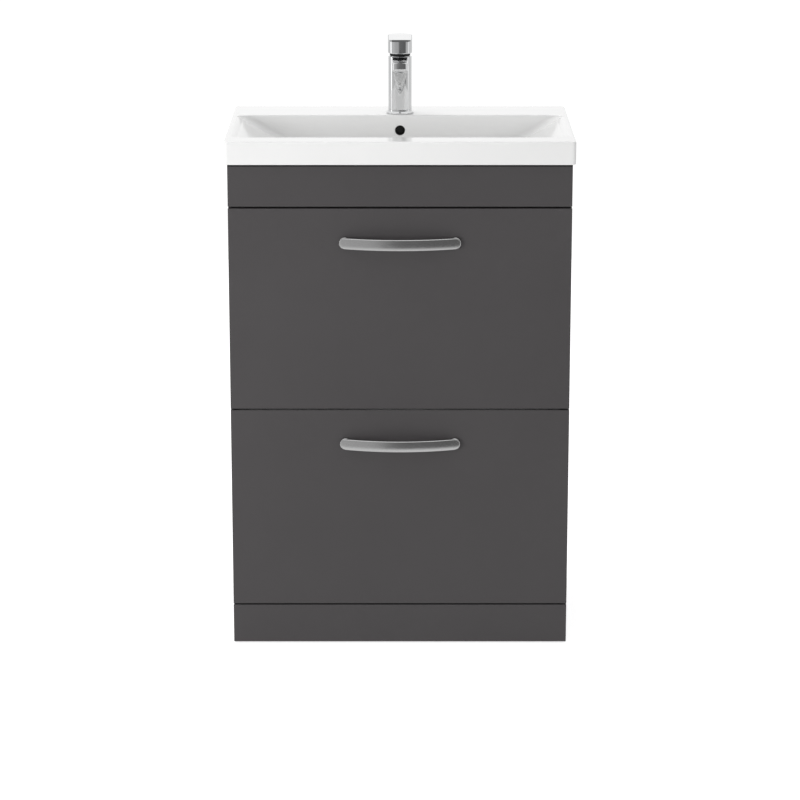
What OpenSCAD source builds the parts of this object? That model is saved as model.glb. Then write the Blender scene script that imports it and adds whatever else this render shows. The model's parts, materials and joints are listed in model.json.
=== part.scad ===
// Bathroom vanity cabinet: floor-standing, two full-width drawers, ceramic basin and mixer tap.
// Millimetres. +X right, +Y towards the wall, +Z up. The floor is z = 0.

/* [Cabinet] */
// width of the carcass and of its front boards
cab_w = 600; // [590:1:640]
// depth of the carcass with its front boards
cab_d = 381; // [375:1:395]
// height of the carcass
cab_h = 875; // [870:1:890]
// thickness of the side, base and rail boards
board = 15; // [14:1:16]
// thickness of the drawer fronts, fascia and plinth board
front_t = 18; // [16:1:19]
// shadow gap between the front boards and the side panels' edges
reveal = 2; // [2:0.5:3]
// height of the plinth board's top edge
plinth_top = 72; // [70:1:74]
// height of one drawer front
drawer_front_h = 360; // [356:1:361]
// gap below each drawer front
front_gap = 3; // [2.5:0.5:3.5]
// gap between the upper drawer front and the fascia
fascia_gap = 3.5; // [3:0.5:4]

/* [Basin] */
// width of the basin
basin_w = 610; // [606:1:650]
// depth of the basin
basin_d = 395; // [389:1:410]
// height of the basin's outer rim
basin_h = 41; // [38:1:44]
// depth of the front rim
front_rim = 47; // [45:1:52]
// depth of the bowl from front to back
bowl_d = 242; // [236:1:246]
// half width of the bowl at the rim
bowl_half_w = 294; // [288:1:295]
// radius of the bowl's sloping floor
bowl_r = 500; // [490:1:515]
// wall thickness of the ceramic
glaze_wall = 10; // [9:0.5:11]

/* [Handles] */
// distance between a handle's screw centres
handle_pitch = 192; // [160:1:224]
// how far a handle stands out from the drawer front
handle_out = 29.5; // [27:0.5:32]
// height of the handle's bar
handle_bar_h = 20; // [18:0.5:21]
// distance from a front's top edge down to the handle's centre
handle_drop = 60; // [50:1:80]

/* [Drawers] */
// inside height of the upper drawer box
upper_box_h = 150; // [120:5:150]
// inside height of the lower drawer box
lower_box_h = 210; // [150:5:220]
// length of the runners
runner_l = 300; // [280:5:305]

/* [Tap] */
// diameter of the tap body
tap_d = 43; // [42:0.5:44]
// height of the tap body above the basin deck
tap_body_h = 104.5; // [104:0.5:106]
// reach of the spout in front of the tap's axis
spout_reach = 95; // [90:1:100]
// reach of the lever blade in front of the tap's axis
lever_reach = 73; // [68:1:78]

/* [Hidden] */
$fn = 96;

bead_h = 2;
glide_h = 2;
wall_y = (handle_out + cab_d) / 2;
front_y = wall_y - cab_d;
back_of_front = front_y + front_t;
side_front = back_of_front + reveal;
half_w = cab_w / 2;
in_x = half_w - board;

lower_z0 = plinth_top + front_gap;
lower_z1 = lower_z0 + drawer_front_h;
upper_z0 = lower_z1 + front_gap;
upper_z1 = upper_z0 + drawer_front_h;
fascia_z0 = upper_z1 + fascia_gap;

rim_z = cab_h + bead_h + basin_h;
basin_y0 = wall_y - basin_d;
bowl_y0 = basin_y0 + front_rim;
bowl_cy = bowl_y0 + bowl_d / 2;
bowl_ax = sqrt(bowl_r * bowl_r - bowl_half_w * bowl_half_w);
bowl_deep = bowl_r - bowl_ax;
bowl_fillet = 14;
floor_z = rim_z - bowl_deep;
boss_z = floor_z - 28;
waste_y = bowl_cy + 6;
waste_seat = floor_z - 2;
overflow_z = rim_z - 28.5;
tap_y = basin_y0 + 316;
deck_t = 12;

runner_w = 12.7;
box_x = in_x - runner_w;
box_t = 12;
box_base = 10;
box_y0 = back_of_front;
box_y1 = box_y0 + runner_l + 5;
upper_box_z = upper_z0 + 14;
lower_box_z = lower_z0 + 15;
upper_run_z = upper_box_z + 48;
lower_run_z = lower_box_z + 50;
run_y0 = back_of_front + 4;
run_y1 = run_y0 + runner_l;

u_half = 85;
u_y0 = front_y + 105;
u_wall = 10;
u_r = 30;

upper_handle_z = upper_z1 - handle_drop;
lower_handle_z = lower_z1 - handle_drop;
foot_r = 10.75;
bar_t = 7;

tap_r = tap_d / 2;
tap_z0 = rim_z + 8;
tap_top = rim_z + tap_body_h;
pivot_z = tap_top - 22.5;
cap_r = tap_r + 1;
cap_z0 = tap_top + 5.3;
cap_top = cap_z0 + 33.2;

body_grey = [0.30, 0.295, 0.30];
inner_grey = [0.62, 0.61, 0.59];
steel = [0.70, 0.71, 0.72];
chrome = [0.86, 0.87, 0.88];
white = [0.95, 0.95, 0.94];
black = [0.06, 0.06, 0.06];

// ---------------------------------------------------------------- helpers

module block(x0, x1, y0, y1, z0, z1) {
    translate([x0, y0, z0])
        cube([x1 - x0, y1 - y0, z1 - z0]);
}

// round bar from z0 to z1
module rod(x, y, z0, z1, r) {
    translate([x, y, z0])
        cylinder(r = r, h = z1 - z0);
}

// round bar along Y from y0 to y1
module rod_y(x, z, y0, y1, r) {
    translate([x, y1, z])
        rotate([90, 0, 0])
            cylinder(r = r, h = y1 - y0);
}

// round bar along X from x0 to x1
module rod_x(y, z, x0, x1, r) {
    translate([x0, y, z])
        rotate([0, 90, 0])
            cylinder(r = r, h = x1 - x0);
}

// rectangle with rounded corners, exact arcs
module round_rect(x0, x1, y0, y1, r) {
    translate([x0 + r, y0])
        square([x1 - x0 - 2 * r, y1 - y0]);
    translate([x0, y0 + r])
        square([x1 - x0, y1 - y0 - 2 * r]);
    for (x = [x0 + r, x1 - r], y = [y0 + r, y1 - r])
        translate([x, y])
            circle(r = r);
}

// upright slab with rounded corners
module slab(x0, x1, y0, y1, z0, z1, r) {
    translate([0, 0, z0])
        linear_extrude(z1 - z0)
            round_rect(x0, x1, y0, y1, r);
}

// child repeated on both sides
module both_sides() {
    children();
    mirror([1, 0, 0])
        children();
}

// ---------------------------------------------------------------- carcass

rail_screw_y = [run_y0 + 18, (run_y0 + run_y1) / 2, run_y1 - 22];
cam_y = [back_of_front + 40, wall_y - 60];

module side_panel(s) {
    difference() {
        block(s > 0 ? in_x : -half_w, s > 0 ? half_w : -in_x, side_front, wall_y, glide_h, cab_h);
        // pilot holes for the runner screws
        for (y = rail_screw_y, z = [upper_run_z, lower_run_z])
            rod_x(y, z, s > 0 ? in_x - 1 : -in_x - 11, s > 0 ? in_x + 11 : -in_x + 1, 1.5);
    }
}

module side_left() {
    color(body_grey)
        side_panel(-1);
}

module side_right() {
    color(body_grey)
        side_panel(1);
}

module base_panel() {
    color(inner_grey)
        difference() {
            block(-in_x, in_x, back_of_front, wall_y, plinth_top - board, plinth_top);
            for (s = [-1, 1], y = cam_y)
                rod(s * (in_x - 34), y, plinth_top - board - 1, plinth_top - board + 11, 7.5);
        }
}

module plinth() {
    color(body_grey)
        block(-half_w, half_w, front_y, back_of_front, glide_h, plinth_top);
}

module fascia() {
    color(body_grey)
        block(-half_w, half_w, front_y, back_of_front, fascia_z0, cab_h);
}

// flat rail behind the fascia's lower edge; it also closes the gap above the top drawer front
module front_rail() {
    color(body_grey) {
        block(-in_x, in_x, side_front, back_of_front + 45, fascia_z0 - 7.5, fascia_z0 + 4.5);
        block(-in_x, in_x, back_of_front, side_front + 1, fascia_z0, fascia_z0 + 4.5);
    }
}

fix_x = half_w - 60;
fix_z = cab_h - 43;

module rear_rail(z0, z1) {
    difference() {
        block(-in_x, in_x, wall_y - board, wall_y, z0, z1);
        for (s = [-1, 1])
            rod_y(s * (in_x - 34), z0 + 20, wall_y - 11, wall_y + 1, 7.5);
    }
}

module rear_top_rail() {
    color(inner_grey)
        difference() {
            rear_rail(cab_h - 85, cab_h);
            for (s = [-1, 1])
                rod_y(s * fix_x, fix_z, wall_y - board - 1, wall_y + 1, 4);
        }
}

module rear_mid_rail() {
    color(inner_grey)
        rear_rail(upper_z0 - 40, upper_z0 + 40);
}

module rear_low_rail() {
    color(inner_grey)
        rear_rail(plinth_top, plinth_top + 80);
}

// cam locks of the base panel and the rear rails, each with a cross slot
module cam_face() {
    difference() {
        cylinder(r = 7.4, h = 10.8);
        translate([-5, -0.8, -1])
            cube([10, 1.6, 3]);
        translate([-0.8, -5, -1])
            cube([1.6, 10, 3]);
    }
}

module cam_fittings() {
    color(steel) {
        for (s = [-1, 1], y = cam_y)
            translate([s * (in_x - 34), y, plinth_top - board])
                cam_face();
        for (s = [-1, 1], z = [cab_h - 65, upper_z0 - 20, plinth_top + 20])
            translate([s * (in_x - 34), wall_y, z])
                rotate([90, 0, 0])
                    cam_face();
    }
}

// moulded corner blocks behind the plinth and the fascia
module corner_blocks() {
    h = plinth_top - board;
    color(white)
        both_sides() {
            block(in_x - 22, in_x, back_of_front, back_of_front + 22, h - 24, h);
            block(in_x - 20, in_x, back_of_front, back_of_front + 20, fascia_z0 + 4.5, fascia_z0 + 32);
        }
}

module wall_brackets() {
    y1 = wall_y - board;
    color(steel)
        both_sides()
            difference() {
                union() {
                    block(fix_x - 26, in_x, y1 - 2, y1, fix_z - 24, fix_z + 24);
                    block(in_x - 2, in_x, y1 - 30, y1 - 2, fix_z - 24, fix_z + 24);
                }
                rod_y(fix_x, fix_z, y1 - 3, y1 + 1, 4);
            }
}

module floor_glides() {
    color(black)
        for (s = [-1, 1], y = [side_front + 25, wall_y - 25])
            translate([s * (half_w - board / 2), y, 0])
                cylinder(r = 7, h = glide_h);
}

// ---------------------------------------------------------------- runners
// Each runner is three nested channels. u counts inwards from the side panel's inner face.

module channel(u0, u1, web0, web1, z, h, t) {
    block(in_x - web1, in_x - web0, run_y0, run_y1, z - h, z + h);
    for (s = [-1, 1])
        block(in_x - u1, in_x - u0, run_y0, run_y1,
            s > 0 ? z + h - t : z - h, s > 0 ? z + h : z - h + t);
}

module cabinet_rail(z) {
    color(steel)
        difference() {
            channel(0, 10.5, 0, 1.2, z, 22.5, 1.2);
            for (y = rail_screw_y)
                rod_x(y, z, in_x - 2, in_x + 1, 1.7);
        }
}

module rail_upper_right() {
    cabinet_rail(upper_run_z);
}

module rail_upper_left() {
    mirror([1, 0, 0])
        cabinet_rail(upper_run_z);
}

module rail_lower_right() {
    cabinet_rail(lower_run_z);
}

module rail_lower_left() {
    mirror([1, 0, 0])
        cabinet_rail(lower_run_z);
}

module rail_screws() {
    color(steel)
        both_sides()
            for (y = rail_screw_y, z = [upper_run_z, lower_run_z]) {
                rod_x(y, z, in_x - 1.9, in_x - 1.2, 3.6);
                rod_x(y, z, in_x - 1.2, in_x + 10.5, 1.45);
            }
}

module mid_channel(z) {
    color(steel)
        both_sides()
            channel(2.3, 11, 2.3, 3.5, z, 18, 1.2);
}

module upper_mid_runners() {
    mid_channel(upper_run_z);
}

module lower_mid_runners() {
    mid_channel(lower_run_z);
}

// plastic bearing strips above and below the middle channel's flanges
module strips(z) {
    color(black)
        both_sides()
            for (s = [-1, 1]) {
                translate([0, 0, z + s * 19.5])
                    block(in_x - 9.5, in_x - 3, run_y0 + 6, run_y1 - 6, -1.5, 1.5);
                translate([0, 0, z + s * 15.4])
                    block(in_x - 10.2, in_x - 5, run_y0 + 6, run_y1 - 6, -1.4, 1.4);
            }
}

module upper_ball_strips() {
    strips(upper_run_z);
}

module lower_ball_strips() {
    strips(lower_run_z);
}

module slide_channel(z) {
    color(steel)
        both_sides()
            channel(4.6, runner_w, 11.5, runner_w, z, 13.7, 1.2);
}

module upper_slides() {
    slide_channel(upper_run_z);
}

module lower_slides() {
    slide_channel(lower_run_z);
}

// ---------------------------------------------------------------- drawers

module drawer_front(z0, z1, hz) {
    color(body_grey)
        difference() {
            block(-half_w, half_w, front_y, back_of_front, z0, z1);
            for (s = [-1, 1])
                rod_y(s * handle_pitch / 2, hz, front_y - 1, back_of_front + 1, 2.5);
        }
}

module box_side(s, z0, h) {
    color(inner_grey)
        block(s > 0 ? box_x - box_t : -box_x, s > 0 ? box_x : box_t - box_x,
            box_y0, box_y1, z0 - 4, z0 + h);
}

// outline of the U-shaped recess for the trap, open to the back
module u_outline(half, y0, r) {
    difference() {
        round_rect(-half, half, y0, box_y1 + 60, r);
        translate([-half - 1, box_y1])
            square([2 * half + 2, 70]);
    }
}

module upper_front() {
    drawer_front(upper_z0, upper_z1, upper_handle_z);
}

module upper_base() {
    color(inner_grey)
        difference() {
            block(box_t - box_x, box_x - box_t, box_y0, box_y1, upper_box_z, upper_box_z + box_base);
            translate([0, 0, upper_box_z - 1])
                linear_extrude(box_base + 2)
                    u_outline(u_half, u_y0, u_r);
            block(-u_half, u_half, box_y1 - 1, box_y1 + 1, upper_box_z - 1, upper_box_z + 20);
        }
}

module upper_side_left() {
    box_side(-1, upper_box_z, upper_box_h);
}

module upper_side_right() {
    box_side(1, upper_box_z, upper_box_h);
}

module upper_back() {
    color(inner_grey)
        both_sides()
            block(u_half, box_x - box_t, box_y1 - box_t, box_y1,
                upper_box_z + box_base, upper_box_z + upper_box_h);
}

module upper_u_wall() {
    color(inner_grey)
        translate([0, 0, upper_box_z])
            linear_extrude(upper_box_h)
                difference() {
                    u_outline(u_half, u_y0, u_r);
                    translate([0, 0.01])
                        u_outline(u_half - u_wall, u_y0 + u_wall, u_r - u_wall);
                    translate([-u_half + u_wall, box_y1 - 5])
                        square([2 * (u_half - u_wall), 10]);
                }
}

// bow handle: two round feet and a flat bar bent to an arc
bow_half = handle_pitch / 2 + 4;
bow_rise = handle_out - 9;
bow_r = (bow_half * bow_half + bow_rise * bow_rise) / (2 * bow_rise);

module bow_handle(z) {
    color(steel)
        difference() {
            union() {
                for (s = [-1, 1])
                    rod_y(s * handle_pitch / 2, z, front_y - 12, front_y, foot_r);
                translate([0, 0, z - handle_bar_h / 2])
                    linear_extrude(handle_bar_h)
                        intersection() {
                            translate([0, front_y - handle_out + bow_r])
                                difference() {
                                    circle(r = bow_r, $fn = 180);
                                    circle(r = bow_r - bar_t, $fn = 180);
                                }
                            translate([-handle_pitch / 2 - 4, front_y - handle_out - 1])
                                square([handle_pitch + 8, handle_out - 0.5]);
                        }
            }
            for (s = [-1, 1])
                rod_y(s * handle_pitch / 2, z, front_y - 8, front_y + 1, 2);
        }
}

// screws of the handle, corner angles and bump stops
module fixings(z0, h, front_z0, front_z1, hz) {
    color(steel) {
        both_sides() {
            rod_y(handle_pitch / 2, hz, back_of_front, back_of_front + 2.4, 4.2);
            rod_y(handle_pitch / 2, hz, front_y - 7.5, back_of_front, 1.95);
            x1 = box_x - box_t;
            block(x1 - 1.5, x1, box_y0, box_y0 + 42, z0 + 40, z0 + h - 30);
            block(x1 - 30, x1 - 1.5, box_y0, box_y0 + 1.5, z0 + 40, z0 + h - 30);
            for (z = [front_z0 + 12, front_z1 - 12])
                rod_y(half_w - board / 2, z, back_of_front, back_of_front + reveal - 0.3, 4);
        }
    }
}

module upper_handle() {
    bow_handle(upper_handle_z);
}

module upper_fixings() {
    fixings(upper_box_z, upper_box_h, upper_z0, upper_z1, upper_handle_z);
}

module lower_front() {
    drawer_front(lower_z0, lower_z1, lower_handle_z);
}

module lower_base() {
    color(inner_grey)
        block(box_t - box_x, box_x - box_t, box_y0, box_y1, lower_box_z, lower_box_z + box_base);
}

module lower_side_left() {
    box_side(-1, lower_box_z, lower_box_h);
}

module lower_side_right() {
    box_side(1, lower_box_z, lower_box_h);
}

module lower_back() {
    color(inner_grey)
        block(box_t - box_x, box_x - box_t, box_y1 - box_t, box_y1,
            lower_box_z + box_base, lower_box_z + lower_box_h);
}

module lower_handle() {
    bow_handle(lower_handle_z);
}

module lower_fixings() {
    fixings(lower_box_z, lower_box_h, lower_z0, lower_z1, lower_handle_z);
}

// ---------------------------------------------------------------- basin

// dark sealing strip that the ceramic rests on
module basin_bead() {
    x = half_w - 5;
    color(black)
        difference() {
            slab(-x, x, front_y + 5, wall_y - 5, cab_h, cab_h + bead_h, 3);
            block(-x + 6, x - 6, front_y + 11, wall_y - 11, cab_h - 1, cab_h + bead_h + 1);
        }
}

// the bowl turns about a line along Y above the basin, grow thickens it
module bowl(grow) {
    f = bowl_fillet + grow;
    h = bowl_d / 2 + grow;
    r = bowl_r + grow;
    translate([0, bowl_cy, rim_z + bowl_ax])
        rotate([90, 0, 0])
            rotate_extrude($fn = 180) {
                translate([0, -h])
                    square([r - f, 2 * h]);
                translate([0, f - h])
                    square([r, 2 * h - 2 * f]);
                for (s = [-1, 1])
                    translate([r - f, s * (h - f)])
                        circle(r = f);
            }
}

// upright leg behind the bowl, then a flat leg forward to the waste
module overflow_duct(x, y0, y1, z0, z1, t) {
    block(-x, x, y0, y1, z0, z1);
    block(-x, x, waste_y, y1, z0, z0 + t);
}

duct_x = 24;
bowl_back = bowl_cy + bowl_d / 2;

module overflow_water() {
    rod_y(0, overflow_z, bowl_back - 5, bowl_back + 8, 9);
    overflow_duct(17, bowl_back + 6, bowl_back + 11, boss_z + 6, overflow_z + 9, 8);
}

module basin() {
    color(white)
        difference() {
            union() {
                difference() {
                    slab(-basin_w / 2, basin_w / 2, basin_y0, wall_y, rim_z - basin_h, rim_z, 7);
                    block(-basin_w / 2 + 22, basin_w / 2 - 22, basin_y0 + 32, wall_y - 22,
                        rim_z - basin_h - 1, rim_z - deck_t);
                }
                intersection() {
                    bowl(glaze_wall);
                    block(-basin_w / 2 + 10, basin_w / 2 - 10, basin_y0 + 30, wall_y - 60,
                        boss_z, rim_z - 1);
                }
                rod(0, waste_y, boss_z, floor_z - 1, 38);
                rod(0, tap_y, rim_z - deck_t - 4, rim_z - 1, 30);
            }
            bowl(0);
            rod(0, waste_y, waste_seat, floor_z + 20, 33);
            rod(0, waste_y, boss_z - 1, floor_z + 5, 23);
            rod(0, tap_y, rim_z - deck_t - 5, rim_z + 1, 17.5);
            block(-duct_x, duct_x, bowl_back, bowl_back + 16, boss_z, rim_z - deck_t);
            overflow_water();
        }
}

// part of the back wall with the overflow hole, and the channel from it to the waste
module basin_overflow() {
    color(white)
        difference() {
            overflow_duct(duct_x, bowl_back, bowl_back + 15, boss_z, rim_z - deck_t, 20);
            intersection() {
                bowl(glaze_wall);
                block(-basin_w / 2, basin_w / 2, bowl_cy - bowl_d, bowl_back, boss_z, rim_z);
            }
            rod(0, waste_y, boss_z - 1, floor_z, 38);
            overflow_water();
        }
}

// ---------------------------------------------------------------- waste

thread_r = 20.9;
neck_r = 20.4;
tail_z = boss_z - 55;
neck_z = boss_z - 17;

module waste_body() {
    spider_z = boss_z - 14;
    color(chrome)
        difference() {
            union() {
                rod(0, waste_y, waste_seat, floor_z + 0.5, 32);
                rod(0, waste_y, boss_z, waste_seat, 22);
                rod(0, waste_y, neck_z, boss_z, neck_r);
                rod(0, waste_y, tail_z, neck_z, thread_r);
            }
            // bore, left whole where the spider guides the plug's stem
            rod(0, waste_y, tail_z - 1, spider_z, 18);
            rod(0, waste_y, spider_z + 5, floor_z + 1, 18);
            rod(0, waste_y, spider_z - 1, spider_z + 6, 4.05);
            for (a = [15 : 60 : 315])
                translate([0, waste_y, spider_z - 1])
                    rotate([0, 0, a])
                        translate([11.5, 0, 0])
                            cylinder(r = 4.5, h = 7);
            // windows that let the overflow in
            for (a = [30, 120])
                translate([0, waste_y, boss_z + 10])
                    rotate([0, 0, a])
                        block(-6, 6, -30, 30, -4, 4);
        }
}

module waste_washer() {
    color(black)
        difference() {
            rod(0, waste_y, boss_z - 5, boss_z, 33);
            rod(0, waste_y, boss_z - 6, boss_z + 1, neck_r);
        }
}

module waste_nut() {
    color(chrome)
        difference() {
            union() {
                rod(0, waste_y, boss_z - 7, boss_z - 5, 31);
                translate([0, waste_y, neck_z])
                    cylinder(r = 29, h = 10, $fn = 8);
            }
            rod(0, waste_y, boss_z - 18, boss_z - 4, neck_r);
        }
}

module waste_plug() {
    z = floor_z + 0.8;
    color(chrome) {
        translate([0, waste_y, z])
            rotate_extrude()
                intersection() {
                    translate([0, 4 - 130])
                        circle(r = 130, $fn = 360);
                    square([29, 5]);
                }
        rod(0, waste_y, z - 7, z, 16);
        rod(0, waste_y, boss_z - 22, z - 7, 4);
    }
}

// ---------------------------------------------------------------- tap

stud_y = tap_y + 9;
tail_x = 8;
tail_y = tap_y - 5;
tail_r = 5;
tail_neck_r = 4.2;

module tap_gasket() {
    color(black)
        difference() {
            rod(0, tap_y, rim_z, rim_z + 1.5, 23.5);
            rod(0, tap_y, rim_z - 1, rim_z + 2, 15.5);
        }
}

// flared foot ring
module tap_base() {
    color(chrome)
        translate([0, tap_y, rim_z + 1.5])
            rotate_extrude()
                difference() {
                    translate([15.5, 0])
                        square([25 - 15.5, 6.5]);
                    translate([tap_r + 4.6, 6.5])
                        circle(r = 4.5);
                }
}

module tap_body() {
    // side profile, plan and front view of the spout meet in one wedge
    tip_y = tap_y - spout_reach;
    under = tap_top - 16.5;
    root = tap_top - 64.5;
    color(chrome)
        difference() {
            union() {
                rod(0, tap_y, tap_z0, tap_top, tap_r);
                intersection() {
                    translate([-14, 0, 0])
                        rotate([90, 0, 90])
                            linear_extrude(28)
                                polygon([
                                    [tap_y, tap_top - 0.3], [tip_y, tap_top - 0.3],
                                    [tip_y, tap_top - 12.6], [tip_y + 3, under],
                                    [tip_y + 25, under], [tap_y - tap_r + 1, root],
                                    [tap_y, root]
                                ]);
                    slab(-14, 14, tip_y, tap_y + 2, root - 1, tap_top, 8);
                    translate([0, tap_y + 1, 0])
                        rotate([90, 0, 0])
                            linear_extrude(spout_reach + 5)
                                polygon([
                                    [-14, tap_top], [14, tap_top], [14, under + 1],
                                    [11, under - 2], [4, root], [-4, root],
                                    [-11, under - 2], [-14, under + 1]
                                ]);
                }
            }
            rod(0, tap_y, pivot_z - 25, tap_top + 1, tap_r - 4);
            // waterway and aerator seat
            rod_y(0, under + 6, tap_y - spout_reach + 12, tap_y, 4.5);
            rod(0, tip_y + 13, under - 1, under + 5, 8.5);
            // bores for the stud and the two inlet tails
            rod(0, stud_y, tap_z0 - 1, tap_z0 + 30, 4);
            for (s = [-1, 1])
                rod(s * tail_x, tail_y, tap_z0 - 1, tap_z0 + 24, tail_neck_r);
        }
}

module tap_aerator() {
    z = tap_top - 16.5;
    color(steel)
        difference() {
            rod(0, tap_y - spout_reach + 13, z - 2, z + 5, 8.5);
            rod(0, tap_y - spout_reach + 13, z - 3, z + 3, 6.5);
        }
}

module tap_cartridge() {
    color(white)
        difference() {
            rod(0, tap_y, pivot_z - 25, pivot_z + 18, tap_r - 4);
            rod(0, tap_y, pivot_z - 6, pivot_z + 19, 11.5);
        }
}

module tap_collar() {
    color(black)
        difference() {
            union() {
                rod(0, tap_y, tap_top, tap_top + 5, 18.6);
                rod(0, tap_y, pivot_z + 18, tap_top, tap_r - 4);
            }
            rod(0, tap_y, pivot_z + 17, tap_top + 6, 15.4);
        }
}

module tap_stud() {
    color(steel)
        rod(0, stud_y, rim_z - 56, tap_z0 + 30, 4);
}

// clamp plate with a rubber-side slot for the tails
module tap_clamp() {
    z = rim_z - deck_t - 4;
    color(steel)
        difference() {
            rod(0, tap_y, z - 4, z, 24);
            rod(0, stud_y, z - 5, z + 1, 4.2);
            block(-15, 15, tap_y - 26, tap_y + 2, z - 5, z + 1);
            block(-25, 25, tap_y - 26, tap_y - 11, z - 5, z + 1);
        }
}

module tap_nut() {
    z = rim_z - deck_t - 8;
    color(steel)
        difference() {
            translate([0, stud_y, z - 12])
                cylinder(r = 7.5, h = 12, $fn = 6);
            rod(0, stud_y, z - 13, z + 1, 4);
        }
}

module tap_tails() {
    color([0.80, 0.50, 0.36])
        both_sides()
            difference() {
                union() {
                    rod(tail_x, tail_y, rim_z - 60, tap_z0 + 24, tail_neck_r);
                    rod(tail_x, tail_y, rim_z - 210, rim_z - 60, tail_r);
                }
                rod(tail_x, tail_y, rim_z - 211, tap_z0 + 25, 3.4);
            }
}

// disc that turns with the lever and carries its cross pin between two cheeks
module tap_turntable() {
    z = pivot_z + 18.2;
    color(white) {
        difference() {
            union() {
                rod(0, tap_y, z, z + 5, 15);
                for (s = [-1, 1])
                    block(s > 0 ? 4.6 : -8.2, s > 0 ? 8.2 : -4.6, tap_y - 4, tap_y + 4,
                        pivot_z - 4, z + 1);
            }
            block(-4, 4, tap_y - 4, tap_y + 14, z - 1, z + 6);
            rod_x(tap_y, pivot_z, -9, 9, 2);
        }
        rod_x(tap_y, pivot_z, -8.2, 8.2, 2);
    }
}

// spindle with an eye that swings on the cross pin
module tap_spindle() {
    color(steel)
        difference() {
            union() {
                rod(0, tap_y, pivot_z, cap_z0 + 22, 3);
                rod_x(tap_y, pivot_z, -4.2, 4.2, 4);
            }
            rod_x(tap_y, pivot_z, -5, 5, 2.05);
        }
}

module tap_handle() {
    color(chrome)
        difference() {
            union() {
                rod(0, tap_y, cap_z0, cap_top, cap_r);
                slab(-cap_r + 1.5, cap_r - 1.5, tap_y - lever_reach, tap_y + 5,
                    cap_top - 5.5, cap_top, 4);
            }
            rod(0, tap_y, cap_z0 - 1, cap_z0 + 13.5, cap_r - 2.5);
            rod(0, tap_y, cap_z0 + 10, cap_z0 + 22, 3);
            rod_y(0, cap_z0 + 18, tap_y + cap_r - 5, tap_y + cap_r + 1, 3);
        }
}

module tap_plug() {
    color(steel)
        rod_y(0, cap_z0 + 18, tap_y + cap_r - 5, tap_y + cap_r - 0.4, 2.95);
}

// ---------------------------------------------------------------- nodes

side_left();
side_right();
base_panel();
plinth();
fascia();
front_rail();
rear_top_rail();
rear_mid_rail();
rear_low_rail();
cam_fittings();
corner_blocks();
wall_brackets();
floor_glides();
rail_upper_left();
rail_upper_right();
rail_lower_left();
rail_lower_right();
rail_screws();
basin_bead();
basin();
basin_overflow();
waste_body();
waste_washer();
waste_nut();
waste_plug();
tap_gasket();
tap_base();
tap_body();
tap_aerator();
tap_cartridge();
tap_collar();
tap_stud();
tap_clamp();
tap_nut();
tap_tails();
tap_turntable();
tap_spindle();
tap_handle();
tap_plug();
upper_front();
upper_base();
upper_side_left();
upper_side_right();
upper_back();
upper_u_wall();
upper_handle();
upper_fixings();
upper_slides();
lower_front();
lower_base();
lower_side_left();
lower_side_right();
lower_back();
lower_handle();
lower_fixings();
lower_slides();
upper_mid_runners();
upper_ball_strips();
lower_mid_runners();
lower_ball_strips();
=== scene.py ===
import json
import math

import bmesh
import bpy
import numpy as np
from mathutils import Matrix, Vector

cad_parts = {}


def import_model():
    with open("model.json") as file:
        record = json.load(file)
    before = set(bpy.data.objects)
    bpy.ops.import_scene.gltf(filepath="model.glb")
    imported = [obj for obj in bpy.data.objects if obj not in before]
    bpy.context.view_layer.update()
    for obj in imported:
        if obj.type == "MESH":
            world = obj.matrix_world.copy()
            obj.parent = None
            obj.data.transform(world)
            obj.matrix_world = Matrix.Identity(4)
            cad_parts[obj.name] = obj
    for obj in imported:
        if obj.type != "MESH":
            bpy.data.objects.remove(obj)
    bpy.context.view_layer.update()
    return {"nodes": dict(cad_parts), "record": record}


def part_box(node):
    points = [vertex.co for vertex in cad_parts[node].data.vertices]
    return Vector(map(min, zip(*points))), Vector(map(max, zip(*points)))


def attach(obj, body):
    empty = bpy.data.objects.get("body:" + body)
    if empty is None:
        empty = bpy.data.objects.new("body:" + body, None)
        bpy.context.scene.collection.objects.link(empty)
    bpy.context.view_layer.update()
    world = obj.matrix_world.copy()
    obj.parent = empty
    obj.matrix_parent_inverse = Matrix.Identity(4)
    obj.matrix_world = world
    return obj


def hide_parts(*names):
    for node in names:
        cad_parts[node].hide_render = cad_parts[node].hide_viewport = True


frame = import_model()
NODES = frame["nodes"]

MM = 0.001
QUARTER = math.pi / 2

# ------------------------------------------------------------------ sizes, read from the frame


def lo(node):
    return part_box(node)[0]


def hi(node):
    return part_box(node)[1]


rim_z = hi("basin").z
rim_bottom = hi("basin_bead").z
basin_x = hi("basin").x
basin_y0 = lo("basin").y
basin_y1 = hi("basin").y
front_y = lo("upper_front").y
tap_y = (lo("tap_collar").y + hi("tap_collar").y) / 2
tap_r = hi("tap_body").x
tap_top = hi("tap_body").z
tap_z0 = lo("tap_body").z
waste_y = (lo("waste_body").y + hi("waste_body").y) / 2
boss_z = lo("basin").z
BOSS_DROP = 28 * MM  # from the bowl's floor down to the boss's lower face
floor_z = boss_z + BOSS_DROP

# The bowl's floor is part of a drum that lies front to back, with its axis above the rim.
BOWL_R = 500 * MM  # the drum's radius
BOWL_HALF = 294 * MM  # half the bowl's width at the rim
BOWL_AX = math.sqrt(BOWL_R**2 - BOWL_HALF**2)  # height of the drum's axis above the rim
BOWL_H = 121 * MM  # half the bowl's depth, front to back
FRONT_RIM = 47 * MM
BOWL_CY = basin_y0 + FRONT_RIM + BOWL_H
BOWL_F = 14 * MM  # rounding between the floor and the front and back walls
SHELL = 10 * MM  # wall of the ceramic under the bowl
DECK = 12 * MM  # thickness of the ceramic under the deck
EDGE_IN = 5 * MM  # how far the basin's grid stays inside its outline

OVERFLOW_R = 9 * MM
OVERFLOW_LIP = 2.2 * MM
overflow_y = BOWL_CY + BOWL_H
overflow_z = rim_z - 28.5 * MM

# ------------------------------------------------------------------ materials


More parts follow.
